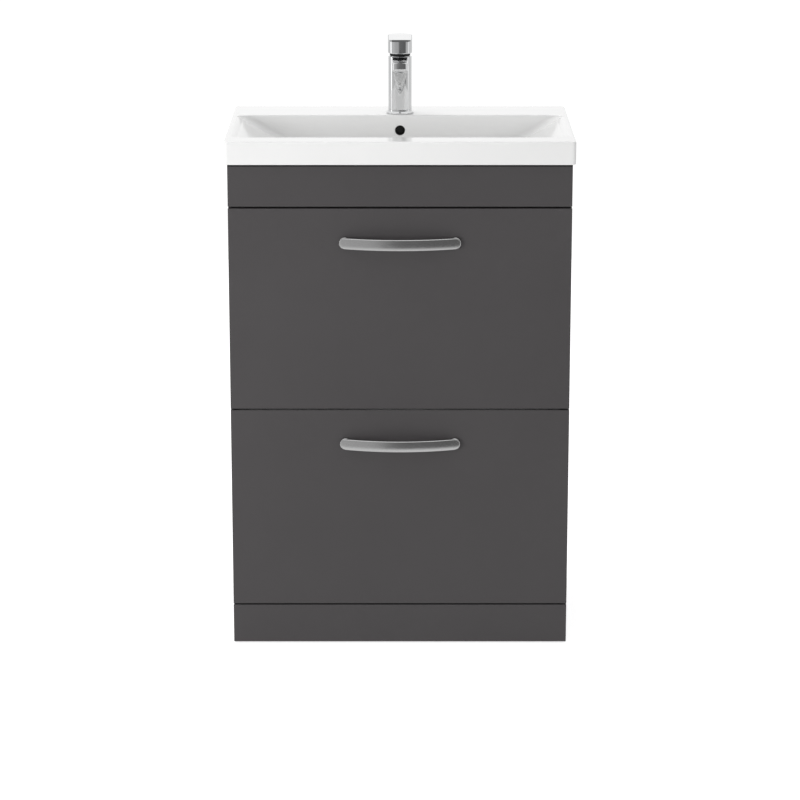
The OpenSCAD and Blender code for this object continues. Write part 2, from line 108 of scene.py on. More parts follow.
def new_material(name):
    mat = bpy.data.materials.new(name)
    mat.use_nodes = True
    tree = mat.node_tree
    return mat, tree, tree.nodes["Principled BSDF"]


def add(tree, kind, **props):
    node = tree.nodes.new(kind)
    for key, value in props.items():
        setattr(node, key, value)
    return node


def coords(tree, scale=(1, 1, 1)):
    texture = add(tree, "ShaderNodeTexCoord")
    mapping = add(tree, "ShaderNodeMapping")
    mapping.inputs["Scale"].default_value = scale
    tree.links.new(texture.outputs["Object"], mapping.inputs["Vector"])
    return mapping.outputs["Vector"]


def noise(tree, place, scale, detail=4.0, rough=0.5):
    node = add(tree, "ShaderNodeTexNoise")
    node.inputs["Scale"].default_value = scale
    node.inputs["Detail"].default_value = detail
    node.inputs["Roughness"].default_value = rough
    tree.links.new(place, node.inputs["Vector"])
    return node.outputs["Fac"]


def added(tree, a, b):
    node = add(tree, "ShaderNodeMath", operation="ADD")
    tree.links.new(a, node.inputs[0])
    tree.links.new(b, node.inputs[1])
    return node.outputs[0]


def ramp(tree, fac, stops):
    node = add(tree, "ShaderNodeValToRGB")
    elements = node.color_ramp.elements
    for element, (position, color) in zip(elements, (stops[0], stops[-1])):
        element.position, element.color = position, (*color, 1)
    for position, color in stops[1:-1]:
        elements.new(position).color = (*color, 1)
    tree.links.new(fac, node.inputs["Fac"])
    return node.outputs["Color"]


def span(tree, fac, low, high, from_low=0.3, from_high=0.7):
    """Maps a value from one range to another."""
    node = add(tree, "ShaderNodeMapRange")
    node.inputs["From Min"].default_value = from_low
    node.inputs["From Max"].default_value = from_high
    node.inputs["To Min"].default_value = low
    node.inputs["To Max"].default_value = high
    tree.links.new(fac, node.inputs["Value"])
    return node.outputs["Result"]


def bump(tree, shader, height, strength, distance):
    node = add(tree, "ShaderNodeBump")
    node.inputs["Strength"].default_value = strength
    node.inputs["Distance"].default_value = distance
    tree.links.new(height, node.inputs["Height"])
    tree.links.new(node.outputs["Normal"], shader.inputs["Normal"])


def lacquer(name, dark, light, rough):
    """Satin lacquered board: faint cloudiness, orange peel, a thin clear coat."""
    mat, tree, shader = new_material(name)
    place = coords(tree)
    cloud = noise(tree, place, 3.0, 3.0)
    tree.links.new(ramp(tree, cloud, [(0.3, dark), (0.7, light)]), shader.inputs["Base Color"])
    fine = noise(tree, place, 60.0, 3.0)
    tree.links.new(span(tree, fine, rough - 0.03, rough + 0.04), shader.inputs["Roughness"])
    shader.inputs["Coat Weight"].default_value = 0.25
    shader.inputs["Coat Roughness"].default_value = 0.12
    bump(tree, shader, noise(tree, place, 750.0, 2.0), 0.05, 0.0004)
    return mat


def linen(name, dark, light):
    """Melamine with a fine woven print, as drawer boxes and carcass insides have."""
    mat, tree, shader = new_material(name)
    warp, weft, cross = (
        noise(tree, coords(tree, scale), 1.0, 2.0)
        for scale in ((2400, 60, 60), (60, 60, 2400), (60, 2400, 60))
    )
    threads = added(tree, added(tree, warp, weft), cross)
    weave = span(tree, threads, 0.0, 1.0, 1.2, 1.8)
    tree.links.new(ramp(tree, weave, [(0.0, dark), (1.0, light)]), shader.inputs["Base Color"])
    sheen = noise(tree, coords(tree), 25.0)
    tree.links.new(span(tree, sheen, 0.48, 0.58), shader.inputs["Roughness"])
    bump(tree, shader, weave, 0.12, 0.0003)
    return mat


def glaze(name, dark, light):
    """Glazed ceramic: a clear coat over a body that is a little uneven."""
    mat, tree, shader = new_material(name)
    place = coords(tree)
    tint = noise(tree, place, 5.0, 2.0)
    tree.links.new(ramp(tree, tint, [(0.3, dark), (0.7, light)]), shader.inputs["Base Color"])
    fine = noise(tree, place, 40.0, 3.0)
    tree.links.new(span(tree, fine, 0.09, 0.13), shader.inputs["Roughness"])
    shader.inputs["Coat Weight"].default_value = 0.3
    shader.inputs["Coat Roughness"].default_value = 0.03
    bump(tree, shader, noise(tree, place, 28.0, 2.0), 0.03, 0.0012)
    return mat


def metal(name, color, pattern_of, stops, shade, rough):
    """Metal whose colour and roughness follow one pattern; rough is its range."""
    mat, tree, shader = new_material(name)
    pattern = pattern_of(tree)
    dark = tuple(c * shade for c in color)
    tint = ramp(tree, pattern, [(stops[0], dark), (stops[1], color)])
    tree.links.new(tint, shader.inputs["Base Color"])
    tree.links.new(span(tree, pattern, *rough), shader.inputs["Roughness"])
    shader.inputs["Metallic"].default_value = 1.0
    return mat, tree, shader, pattern


def polished(name, color, rough):
    """Plated metal with faint wipe marks."""
    mat, tree, shader, _ = metal(
        name, color, lambda tree: noise(tree, coords(tree), 90.0, 5.0, 0.6),
        (0.3, 0.7), 0.97, (rough * 0.8, rough * 1.4))
    bump(tree, shader, noise(tree, coords(tree), 60.0, 2.0), 0.004, 0.0001)
    return mat


def brushed(name, color, rough, along):
    """Satin metal with fine grain lines along one axis."""
    scale = [900.0, 900.0, 900.0]
    scale[along] = 14.0
    mat, tree, shader, grain = metal(
        name, color, lambda tree: noise(tree, coords(tree, scale), 1.0, 3.0, 0.6),
        (0.25, 0.75), 0.9, (rough * 0.8, rough * 1.3))
    shader.inputs["Anisotropic"].default_value = 0.35
    bump(tree, shader, grain, 0.05, 0.0002)
    return mat


def zinc(name, dark, light):
    """Zinc plated pressed steel: soft crystal mottling."""
    mat, tree, shader = new_material(name)
    place = coords(tree)
    crystals = add(tree, "ShaderNodeTexVoronoi")
    crystals.inputs["Scale"].default_value = 160.0
    tree.links.new(place, crystals.inputs["Vector"])
    split = add(tree, "ShaderNodeSeparateColor")
    tree.links.new(crystals.outputs["Color"], split.inputs["Color"])
    mottle = split.outputs["Red"]
    tree.links.new(ramp(tree, mottle, [(0.0, dark), (1.0, light)]), shader.inputs["Base Color"])
    shader.inputs["Metallic"].default_value = 1.0
    tree.links.new(span(tree, mottle, 0.28, 0.40, 0.0, 1.0), shader.inputs["Roughness"])
    bump(tree, shader, noise(tree, place, 300.0, 3.0), 0.05, 0.0003)
    return mat


def moulded(name, dark, light, rough, spec=0.5):
    """Moulded plastic or rubber with a fine grain."""
    mat, tree, shader = new_material(name)
    shader.inputs["Specular IOR Level"].default_value = spec
    place = coords(tree)
    tint = noise(tree, place, 30.0)
    tree.links.new(ramp(tree, tint, [(0.3, dark), (0.7, light)]), shader.inputs["Base Color"])
    fine = noise(tree, place, 120.0)
    tree.links.new(span(tree, fine, rough - 0.05, rough + 0.06), shader.inputs["Roughness"])
    bump(tree, shader, noise(tree, place, 600.0, 2.0), 0.15, 0.0003)
    return mat


def grey(value):
    return (value, value, value)


MATERIALS = {
    "board_grey": lacquer("board_grey", (0.0675, 0.0630, 0.0650), (0.0735, 0.0690, 0.0710), 0.34),
    "board_inner": linen("board_inner", (0.40, 0.39, 0.37), (0.50, 0.49, 0.47)),
    "glazed_white": glaze("glazed_white", (0.885, 0.885, 0.88), (0.905, 0.905, 0.902)),
    "chrome": polished("chrome", (0.74, 0.745, 0.75), 0.06),
    "handle_metal": brushed("handle_metal", grey(0.66), 0.20, 0),
    "zinc_steel": zinc("zinc_steel", (0.50, 0.51, 0.53), (0.60, 0.61, 0.62)),
    # black_plastic also makes the painted shade in the overflow hole and on the tap collar
    "black_plastic": moulded("black_plastic", grey(0.010), grey(0.016), 0.5, spec=0.25),
    "white_plastic": moulded("white_plastic", (0.70, 0.70, 0.69), (0.78, 0.78, 0.77), 0.42),
    # black_rubber also makes the painted shadow strip along the fascia's upper edge
    "black_rubber": moulded("black_rubber", grey(0.008), grey(0.014), 0.75, spec=0.15),
    "copper_tube": brushed("copper_tube", (0.72, 0.36, 0.22), 0.25, 2),
}

# ------------------------------------------------------------------ mesh helpers


def mesh_object(name, verts, faces, merge):
    """A linked object with merged points and normals that face outwards."""
    me = bpy.data.meshes.new(name)
    me.from_pydata([tuple(v) for v in verts], [], [tuple(f) for f in faces])
    bm = bmesh.new()
    bm.from_mesh(me)
    bmesh.ops.remove_doubles(bm, verts=bm.verts, dist=merge)
    bmesh.ops.dissolve_degenerate(bm, dist=1e-7, edges=bm.edges)
    bmesh.ops.recalc_face_normals(bm, faces=bm.faces)
    bm.to_mesh(me)
    bm.free()
    ob = bpy.data.objects.new(name, me)
    bpy.context.collection.objects.link(ob)
    return ob


def finish_object(ob, slot, angle):
    me = ob.data
    me.materials.clear()
    me.materials.append(MATERIALS[slot])
    for polygon in me.polygons:
        polygon.use_smooth = True
    me.set_sharp_from_angle(angle=math.radians(angle))


def make(name, verts, faces, slot, body, replaces=(), angle=35.0):
    ob = mesh_object(name, verts, faces, 1e-6)
    finish_object(ob, slot, angle)
    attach(ob, body)
    if replaces:
        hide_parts(*replaces)
    return ob


def arc(cx, cy, r, a0, a1, n):
    """n + 1 points of an arc, angles in degrees."""
    return [
        (cx + r * math.cos(math.radians(a)), cy + r * math.sin(math.radians(a)))
        for a in np.linspace(a0, a1, n + 1)
    ]


def lathe_parts(profile, centre, seg=64, axis="Z", closed=True):
    """Turns (radius, height) points round the Z or Y axis through centre."""
    verts, faces = [], []
    n = len(profile)
    for i in range(seg):
        a = 2 * math.pi * i / seg
        for r, h in profile:
            u, v = r * math.cos(a), r * math.sin(a)
            q = (u, v, h) if axis == "Z" else (u, h, v)
            verts.append((centre[0] + q[0], centre[1] + q[1], centre[2] + q[2]))
    for i in range(seg):
        j = (i + 1) % seg
        for k in range(n if closed else n - 1):
            m = (k + 1) % n
            faces.append((i * n + k, j * n + k, j * n + m, i * n + m))
    return verts, faces


def loft_parts(sections):
    """Joins closed loops of equal length and caps both ends."""
    n = len(sections[0])
    verts = [p for s in sections for p in s]
    faces = []
    for a in range(len(sections) - 1):
        for k in range(n):
            m = (k + 1) % n
            faces.append((a * n + k, a * n + m, (a + 1) * n + m, (a + 1) * n + k))
    faces.append(tuple(range(n)))
    last = (len(sections) - 1) * n
    faces.append(tuple(last + k for k in reversed(range(n))))
    return verts, faces


def join_parts(*parts):
    verts, faces = [], []
    for v, f in parts:
        base = len(verts)
        verts += list(v)
        faces += [tuple(i + base for i in q) for q in f]
    return verts, faces


def round_rect(w, h, r, n=5):
    """Loop of a rounded rectangle centred on 0, half sizes w and h."""
    pts = []
    for sx, sy, a in ((1, 1, 0), (-1, 1, 90), (-1, -1, 180), (1, -1, 270)):
        pts += arc(sx * (w - r), sy * (h - r), r, a, a + 90, n)
    return pts


def cut_round(ob, profile, centre, seg, axis="Z"):
    """Cuts a turned solid out of a piece; its profile starts and ends on the axis."""
    tool = mesh_object("cutter", *lathe_parts(profile, centre, seg, axis, False), 1e-7)
    mod = ob.modifiers.new("cut", "BOOLEAN")
    mod.operation = "DIFFERENCE"
    mod.solver = "EXACT"
    mod.object = tool
    deps = bpy.context.evaluated_depsgraph_get()
    me = bpy.data.meshes.new_from_object(ob.evaluated_get(deps))
    ob.modifiers.clear()
    ob.data = me
    bpy.data.objects.remove(tool)


# ------------------------------------------------------------------ basin

# shares of the way from the bowl's edge out to the basin's edge, where the deck has a line
DECK_LINES = [1.0, 0.985, 0.97, 0.9, 0.7, 0.5, 0.3, 0.15, 0.08, 0.03]
END_FROM = 285 * MM  # the bowl's ends are softened from here outwards
END_PASSES = 110


def bowl_section(x, grow, plane):
    """Half depth and height of the bowl's edge at x, and points (y, z) from there to the middle.

    grow moves the surface outwards, and plane lowers the rim."""
    radius, half, fillet = BOWL_R + grow, BOWL_H + grow, BOWL_F + grow
    axis = BOWL_AX + plane
    x_end = math.sqrt(radius * radius - axis * axis)
    xa = min(abs(x), x_end)
    r_rim = math.sqrt(axis * axis + xa * xa)

    def z_of(r):
        return rim_z + BOWL_AX - math.sqrt(max(r * r - xa * xa, 0.0))

    top = rim_z - plane
    path = []
    if r_rim <= radius - fillet:
        y_rim = half
        for t in np.linspace(0, 1, 9):
            path.append((half, z_of(r_rim + (radius - fillet - r_rim) * t)))
        phi0 = 0.0
    else:
        phi0 = math.asin(min(1.0, (r_rim - (radius - fillet)) / fillet))
        y_rim = half - fillet + fillet * math.cos(phi0)
        path += [(y_rim, top)] * 9
    for t in np.linspace(0, 1, 9)[1:]:
        phi = phi0 + (QUARTER - phi0) * t
        z = z_of(radius - fillet + fillet * math.sin(phi))
        path.append((half - fillet + fillet * math.cos(phi), z))
    for t in np.linspace(0, 1, 12)[1:]:
        path.append(((half - fillet) * (1 - t), z_of(radius)))
    return y_rim, top, path


def rounded_corner(path, r_edge, top, y_rim):
    """Replaces the path's first corner, where the deck meets the bowl, by a soft edge."""
    dist = [0.0]
    for a, b in zip(path, path[1:]):
        dist.append(dist[-1] + math.hypot(b[0] - a[0], b[1] - a[1]))

    def at(d):
        for k in range(len(path) - 1):
            if dist[k + 1] >= d:
                s = (d - dist[k]) / max(dist[k + 1] - dist[k], 1e-12)
                a, b = path[k], path[k + 1]
                return (a[0] + (b[0] - a[0]) * s, a[1] + (b[1] - a[1]) * s)
        return path[-1]

    probe = at(1.5 * MM)
    slope = math.atan2(top - probe[1], max(y_rim - probe[0], 1e-9))
    t = r_edge * math.tan(min(max(slope, 0.0), QUARTER) / 2)
    a, c = (y_rim + t, top), at(t)
    p = (y_rim, top)
    soft = []
    for s in np.linspace(0, 1, 8):
        w = ((1 - s) ** 2, 2 * s * (1 - s), s * s)
        soft.append(tuple(w[0] * a[i] + w[1] * p[i] + w[2] * c[i] for i in (0, 1)))
    total = dist[-1]
    rest = [at(t + (total - t) * (d / total)) for d in dist[1:]]
    return soft + rest


def spread(points, gap):
    """Keeps flat neighbours a little apart so that no two lines fall together."""
    out = [points[0]]
    for y, z in points[1:]:
        if abs(z - out[-1][1]) < 1e-6 and out[-1][0] - y < gap:
            y = out[-1][0] - gap
        out.append((y, z))
    return out


def half_row(x, grow, plane, y_edge, r_edge):
    """Section from the outer edge inwards to the middle, as (distance from the middle, z)."""
    y_rim, top, path = bowl_section(x, grow, plane)
    curve = rounded_corner(path, r_edge, top, y_rim)
    start = curve[0][0]
    rows = [(start + (y_edge - start) * s, top) for s in DECK_LINES]
    return spread(rows + curve, 0.05 * MM)


def under_row(x, edge, inset):
    """Half section of the underside: flat under the rim as far as inset, then up to the deck."""
    row = half_row(x, SHELL, DECK, edge, 1.0 * MM)
    for k, share in enumerate((0, 0.3, 0.7, 1.0)):
        row[k] = (edge - inset * share, rim_bottom)
    row[4] = (edge - inset - 0.1 * MM, row[4][1])
    for k in range(5, len(DECK_LINES)):
        y, z = row[k]
        row[k] = (min(y, edge - inset - 0.2 * MM * (k - 3)), z)
    return row


def full_row(x, front, rear):
    """Joins two half sections, each given from its outer edge to the middle that they share."""
    ahead = [(x, BOWL_CY - y, z) for y, z in front]
    behind = [(x, BOWL_CY + y, z) for y, z in rear[::-1][1:]]
    return ahead + behind


def x_stations():
    """Lines across the basin, closer together where the floor meets the side rims."""
    fine = np.arange(286.0, 300.01, 0.5)
    mid = np.arange(264.0, 286.0, 2.0)
    wide = np.linspace(0, 264, 45)[:-1]
    half = np.concatenate([wide, mid, fine]) * MM
    return np.concatenate([-half[::-1][:-1], half])


def basin_grids():
    """Grids of the same size for the basin's top and for its underside."""
    xs = x_stations()
    front_edge = BOWL_CY - (basin_y0 + EDGE_IN)
    rear_edge = (basin_y1 - EDGE_IN) - BOWL_CY
    soft = 2.6 * MM
    top = np.array([
        full_row(x, half_row(x, 0.0, 0.0, front_edge, soft), half_row(x, 0.0, 0.0, rear_edge, soft))
        for x in xs])
    ends = np.abs(xs) > END_FROM
    for _ in range(END_PASSES):
        z = top[:, :, 2].copy()
        z[1:-1] = (z[:-2] + 2 * z[1:-1] + z[2:]) / 4
        top[ends, :, 2] = z[ends]
    bottom = []
    for i, x in enumerate(xs):
        if abs(x) > END_FROM - 2 * MM:
            bottom.append([(x, y, rim_bottom) for y in top[i, :, 1]])
        else:
            front = under_row(x, front_edge, 27 * MM)
            bottom.append(full_row(x, front, under_row(x, rear_edge, 17 * MM)))
    return top, np.array(bottom)


def outline_point(p, half_x, y0, y1, r):
    """Closest point and outward normal on a rounded rectangle."""
    cx = min(max(p[0], -half_x + r), half_x - r)
    cy = min(max(p[1], y0 + r), y1 - r)
    d = Vector((p[0] - cx, p[1] - cy))
    if d.length < 1e-9 or (abs(p[0]) <= half_x - r or y0 + r <= p[1] <= y1 - r):
        gaps = [(half_x - p[0], (1, 0)), (p[0] + half_x, (-1, 0)),
                (y1 - p[1], (0, 1)), (p[1] - y0, (0, -1))]
        gap, n = min(gaps)
        n = Vector(n)
        return Vector(p) + n * gap, n
    n = d.normalized()
    return Vector((cx, cy)) + n * r, n


def rim_profile():
    """Outer face of the rim from top to bottom, as (inset, z), with soft edges."""
    soft = 2.4 * MM
    turn = np.linspace(0, QUARTER, 7)
    profile = [(soft * (1 - math.sin(a)), rim_z - soft * (1 - math.cos(a))) for a in turn]
    profile += [(0.0, rim_z - 12 * MM), (0.0, rim_z - 28 * MM)]
    profile += [(soft * (1 - math.cos(a)), rim_bottom + soft * (1 - math.sin(a))) for a in turn]
    return profile


def basin_parts():
    """Top and underside grids, joined round the outside by the rim's face."""
    top, bottom = basin_grids()
    ni, nj = top.shape[:2]
    verts = [tuple(p) for row in top for p in row]
    base = len(verts)
    verts += [tuple(p) for row in bottom for p in row]
    faces = []
    for i in range(ni - 1):
        for j in range(nj - 1):
            a, b = i * nj + j, (i + 1) * nj + j
            faces.append((a, b, b + 1, a + 1))
            faces.append((base + a, base + a + 1, base + b + 1, base + b))
    loop = [i * nj for i in range(ni)]
    loop += [(ni - 1) * nj + j for j in range(1, nj)]
    loop += [i * nj + nj - 1 for i in range(ni - 2, -1, -1)]
    loop += [j for j in range(nj - 2, 0, -1)]
    corner_r = 7 * MM
    anchors = [outline_point(verts[k][:2], basin_x, basin_y0, basin_y1, corner_r) for k in loop]
    m = len(loop)
    rings = [loop]
    for inset, z in rim_profile():
        rings.append([len(verts) + k for k in range(m)])
        verts += [(*(p - n * inset), z) for p, n in anchors]
    rings.append([base + k for k in loop])
    for upper, lower in zip(rings, rings[1:]):
        for k in range(m):
            faces.append((upper[k], upper[(k + 1) % m], lower[(k + 1) % m], lower[k]))
    return verts, faces


def cut_overflow_hole(ob):
    lip, front, back = OVERFLOW_LIP, -4 * MM, 14 * MM
    hole = [(0.0, front), (OVERFLOW_R + lip, front), (OVERFLOW_R + lip, 0.0)]
    hole += [(OVERFLOW_R + lip * (1 - math.sin(a)), lip * (1 - math.cos(a)))
             for a in np.linspace(0, QUARTER, 8)][1:]
    hole += [(OVERFLOW_R, back), (0.0, back)]
    cut_round(ob, hole, (0, overflow_y, overflow_z), 48, "Y")


def cut_waste_seat(ob):
    """Bore through the floor and the shallow seat that the waste's flange lies in."""
    bore_r, seat_r = 23 * MM, 32.4 * MM
    low, seat = boss_z - 1 * MM, floor_z - 2 * MM
    hole = [(0.0, low), (bore_r, low), (bore_r, seat), (seat_r, seat),
            (seat_r + 1 * MM, seat + 0.6 * MM), (seat_r + 2 * MM, seat + 4 * MM),
            (0.0, seat + 4 * MM)]
    cut_round(ob, hole, (0, waste_y, 0), 64)


def cut_tap_hole(ob):
    hole_r, low, high = 17.5 * MM, rim_z - 30 * MM, rim_z + 2 * MM
    hole = [(0.0, low), (hole_r, low), (hole_r, rim_z - 0.8 * MM), (hole_r + 0.8 * MM, high),
            (0.0, high)]
    cut_round(ob, hole, (0, tap_y, 0), 48)


def basin_boss():
    """Boss under the bowl that the waste passes through."""
    bore_r, r, top = 23 * MM, 38 * MM, floor_z - 5 * MM
    profile = [(bore_r, boss_z), (r - 1 * MM, boss_z), (r, boss_z + 1 * MM),
               (r + 1 * MM, top), (bore_r, top)]
    make("basin_boss", *lathe_parts(profile, (0, waste_y, 0), 64), "glazed_white", "cabinet")


def duct_path():
    """Centre line, normal and half thickness of the duct: down the back, forward to the boss."""
    yc, zc, r = overflow_y + 10 * MM, boss_z + 10 * MM, 14 * MM
    thin, thick = 4.6, 9.8
    pts = [(yc, overflow_z + 12 * MM, 1.0, 0.0, thin * MM), (yc, zc + r, 1.0, 0.0, thin * MM)]
    for a in np.linspace(0, 90, 7)[1:]:
        t = math.radians(a)
        pts.append((yc - r + r * math.cos(t), zc + r - r * math.sin(t),
                    math.cos(t), -math.sin(t), (thin + (thick - thin) * a / 90) * MM))
    pts.append((waste_y + 30 * MM, zc, 0.0, -1.0, thick * MM))
    return pts


def basin_duct():
    loops = []
    for y, z, ny, nz, half in duct_path():
        section = round_rect(24 * MM, half, 2.5 * MM)
        loops.append([(u, y + ny * w, z + nz * w) for u, w in section])
    duct = make("basin_duct", *loft_parts(loops), "glazed_white", "cabinet", ["basin_overflow"])
    throat_r, depth = OVERFLOW_R - 0.04 * MM, 11 * MM
    throat = [(0.0, 0.0), (throat_r, 0.0), (throat_r, depth), (0.0, depth)]
    cut_round(duct, throat, (0, overflow_y, overflow_z), 48, "Y")
    finish_object(duct, "glazed_white", 35.0)


def overflow_painted_shade():
    """Black cup inside the overflow hole: painted shade standing in for the unlit channel behind it.
    """
    r, wall, front, back = OVERFLOW_R - 0.05 * MM, 0.55 * MM, 2.6 * MM, 10.9 * MM
    cup = [(r, front), (r, back), (0.0, back), (0.0, back - 0.6 * MM),
           (r - wall, back - 0.6 * MM), (r - wall, front)]
    parts = lathe_parts(cup, (0, overflow_y, overflow_z), 48, "Y")
    make("basin_overflow_painted_shade", *parts, "black_plastic", "cabinet")


def basin():
    ob = make("basin_body", *basin_parts(), "glazed_white", "cabinet", ["basin"])
    cut_overflow_hole(ob)
    cut_waste_seat(ob)
    cut_tap_hole(ob)
    finish_object(ob, "glazed_white", 32.0)
    basin_boss()
    basin_duct()
    overflow_painted_shade()


basin()

# ------------------------------------------------------------------ waste plug


def waste_plug():
    """Domed cap on a plain stem."""
    z, top = lo("waste_plug").z, hi("waste_plug").z
    z0 = floor_z + 0.8 * MM
    r, plug_r, plug_h = 29 * MM, 16 * MM, 7 * MM
    profile = [(0.0, z0 - plug_h), (plug_r - 0.4 * MM, z0 - plug_h), (plug_r, z0 - plug_h + 0.4 * MM),
               (plug_r, z0), (r - 1.0 * MM, z0), (r - 0.2 * MM, z0 + 0.25 * MM),
               (r, z0 + 0.6 * MM), (r - 0.5 * MM, z0 + 1.2 * MM)]
    profile += [(rr, z0 + (top - z0) * (1 - (rr / r) ** 2) ** 0.5 * 0.98)
                for rr in np.linspace(r - 1.6 * MM, 0, 16)]
    cap = lathe_parts(profile, (0, waste_y, 0), 96, "Z", False)
    stem_r, stem_top = 4 * MM, z0 - plug_h + 0.1 * MM
    profile = [(0.0, z), (stem_r - 0.5 * MM, z), (stem_r, z + 0.5 * MM), (stem_r, stem_top),
               (0.0, stem_top)]
    stem = lathe_parts(profile, (0, waste_y, 0), 32, "Z", False)
    make("waste_plug_cap", *cap, "chrome", "waste_plug", ["waste_plug"])
    make("waste_plug_stem", *stem, "chrome", "waste_plug")


waste_plug()

# ------------------------------------------------------------------ tap

TAP_CENTRE = (0, tap_y, 0)
TAP_BORE_R = 15.5 * MM
spout_tip = lo("tap_body").y
spout_reach = tap_y - spout_tip


def tap_foot():
    """Flared foot with a thin skirt down to the deck."""
    z = rim_z + 1.5 * MM
    bore_r, r = 16 * MM, 24.6 * MM
    profile = [(bore_r, z), (r - 0.2 * MM, z), (r - 0.2 * MM, rim_z + 0.35 * MM),
               (r + 0.2 * MM, rim_z + 0.25 * MM), (r + 0.4 * MM, rim_z + 0.5 * MM),
               (r + 0.4 * MM, z + 1.1 * MM), (r, z + 1.6 * MM)]
    for a in np.linspace(0, QUARTER, 10)[1:]:
        profile.append((r - (r - tap_r) * math.sin(a) ** 0.8,
                        z + 1.6 * MM + 4.9 * MM * (1 - math.cos(a))))
    profile.append((bore_r, z + 6.5 * MM))
    make("tap_foot", *lathe_parts(profile, TAP_CENTRE, 96), "chrome", "cabinet", ["tap_base"])


def tap_body_tube():
    """Body tube with a rolled upper edge and a wider bore in its upper half."""
    edge, inner = 0.7 * MM, 17.6 * MM
    profile = [(TAP_BORE_R, tap_z0), (tap_r - 0.3 * MM, tap_z0), (tap_r, tap_z0 + 0.3 * MM),
               (tap_r, tap_z0 + 30 * MM), (tap_r, tap_top - 20 * MM)]
    profile += arc(tap_r - edge, tap_top - edge, edge, 0, 90, 5)
    profile += [(18.4 * MM, tap_top), (inner, tap_top - 0.6 * MM),
                (inner, tap_z0 + 45 * MM), (TAP_BORE_R, tap_z0 + 44 * MM)]
    make("tap_body_tube", *lathe_parts(profile, TAP_CENTRE, 128), "chrome", "cabinet", ["tap_body"])


def spout_loop(y, w, top, low, keel):
    """One section of the spout: flat top with soft corners, sides drawn in to the keel."""
    r = min(2.2 * MM, w * 0.4)
    pts = arc(w - r, top - r, r, 90, 0, 5)
    mid = top - min(11 * MM, (top - low) * 0.6)
    off = min(1.5 * MM, keel)
    pts += [(w, (top - r) * 0.5 + mid * 0.5), (w, mid)]
    steps = 10
    for k in range(1, steps + 1):
        t = k / steps
        pts.append((w + (keel - w) * (t ** 1.3), mid + (low + off - mid) * t))
    pts += [(keel * 0.75, low + off / 3), (keel * 0.4, low)]
    left = [(-x, z) for x, z in reversed(pts)]
    return [(x, y, z) for x, z in pts + left]


def tap_spout():
    """Spout that is deep at the body, thins towards a round tip and widens where it joins."""
    top = tap_top - 0.3 * MM
    half_w, tip_r, keel_w = 14 * MM, 8 * MM, 0.3 * MM
    deep_end = spout_reach - 25 * MM
    stations = list(np.linspace(15.6 * MM, spout_reach - 9 * MM, 20))
    stations += [spout_reach - d * MM for d in (7.5, 6, 4.5, 3.2, 2.1, 1.2, 0.5, 0.0)]
    sections = []
    for s in stations:
        under = min(max(0.0, (deep_end - s) / (deep_end - tap_r)), 1.25)
        low = top - (16.2 * MM + 48 * MM * under ** 1.05)
        if s > spout_reach - 4 * MM:
            low += (4 * MM - (spout_reach - s)) * 1.1
        w = half_w
        d = spout_reach - s
        if d < tip_r:
            w = half_w - tip_r + math.sqrt(max(tip_r ** 2 - (tip_r - d) ** 2, 0.0))
        w *= 1 + 0.10 * max(0.0, 1 - abs(s - tap_r) / (9 * MM))
        keel = keel_w + (w - keel_w) * (1 - min(under, 1.0)) ** 0.62
        sections.append(spout_loop(tap_y - s, w, top, low, keel))
    make("tap_spout", *loft_parts(sections), "chrome", "cabinet", angle=40)


def tap_aerator():
    """Ring with a grid of ribs across it."""
    y, z = spout_tip + 13 * MM, tap_top - 16.5 * MM
    inner, outer = 6.4 * MM, 8.5 * MM
    profile = [(inner, z + 3 * MM), (inner, z - 1.6 * MM), (inner + 0.4 * MM, z - 2 * MM),
               (outer - 0.3 * MM, z - 2 * MM), (outer, z - 1.7 * MM), (outer, z + 3 * MM)]
    parts = [lathe_parts(profile, (0, y, 0), 64)]
    rib = round_rect(0.28 * MM, 0.5 * MM, 0.1 * MM, 2)
    for k in range(-3, 4):
        d = k * 1.7 * MM
        half = math.sqrt(max(inner ** 2 - d * d, 0.0))
        along_y = [[(d + u, y + end, z - 0.8 * MM + w) for u, w in rib] for end in (-half, half)]
        along_x = [[(end, y + d + u, z - 0.8 * MM + w) for u, w in rib] for end in (-half, half)]
        parts += [loft_parts(along_y), loft_parts(along_x)]
    make("tap_aerator_ring", *join_parts(*parts), "zinc_steel", "cabinet", ["tap_aerator"])


def tap_collar_painted_shade():
    """Black collar between body and handle: a real collar whose black colour is painted shade for the
    shadow gap there.
    """
    z0, z1 = lo("tap_collar").z, hi("tap_collar").z
    bore_r, neck_r, r, step = 15.4 * MM, 17.4 * MM, 18.6 * MM, tap_top + 1.0 * MM
    profile = [(bore_r, z0), (neck_r, z0), (neck_r, step), (r - 0.3 * MM, step),
               (r, step + 0.3 * MM), (r, z1 - 0.3 * MM), (r - 0.3 * MM, z1), (bore_r, z1)]
    make("tap_collar_painted_shade", *lathe_parts(profile, TAP_CENTRE, 96), "black_plastic", "cabinet",
         ["tap_collar"])


def tap_neck_ring():
    """Thin chrome ring under the black collar."""
    inner, outer, low, high = 17.45 * MM, 18.3 * MM, tap_top - 0.2 * MM, tap_top + 0.9 * MM
    profile = [(inner, low), (outer, low), (outer, high - 0.4 * MM), (outer - 0.4 * MM, high),
               (inner, high)]
    make("tap_neck_ring", *lathe_parts(profile, TAP_CENTRE, 96), "chrome", "cabinet")


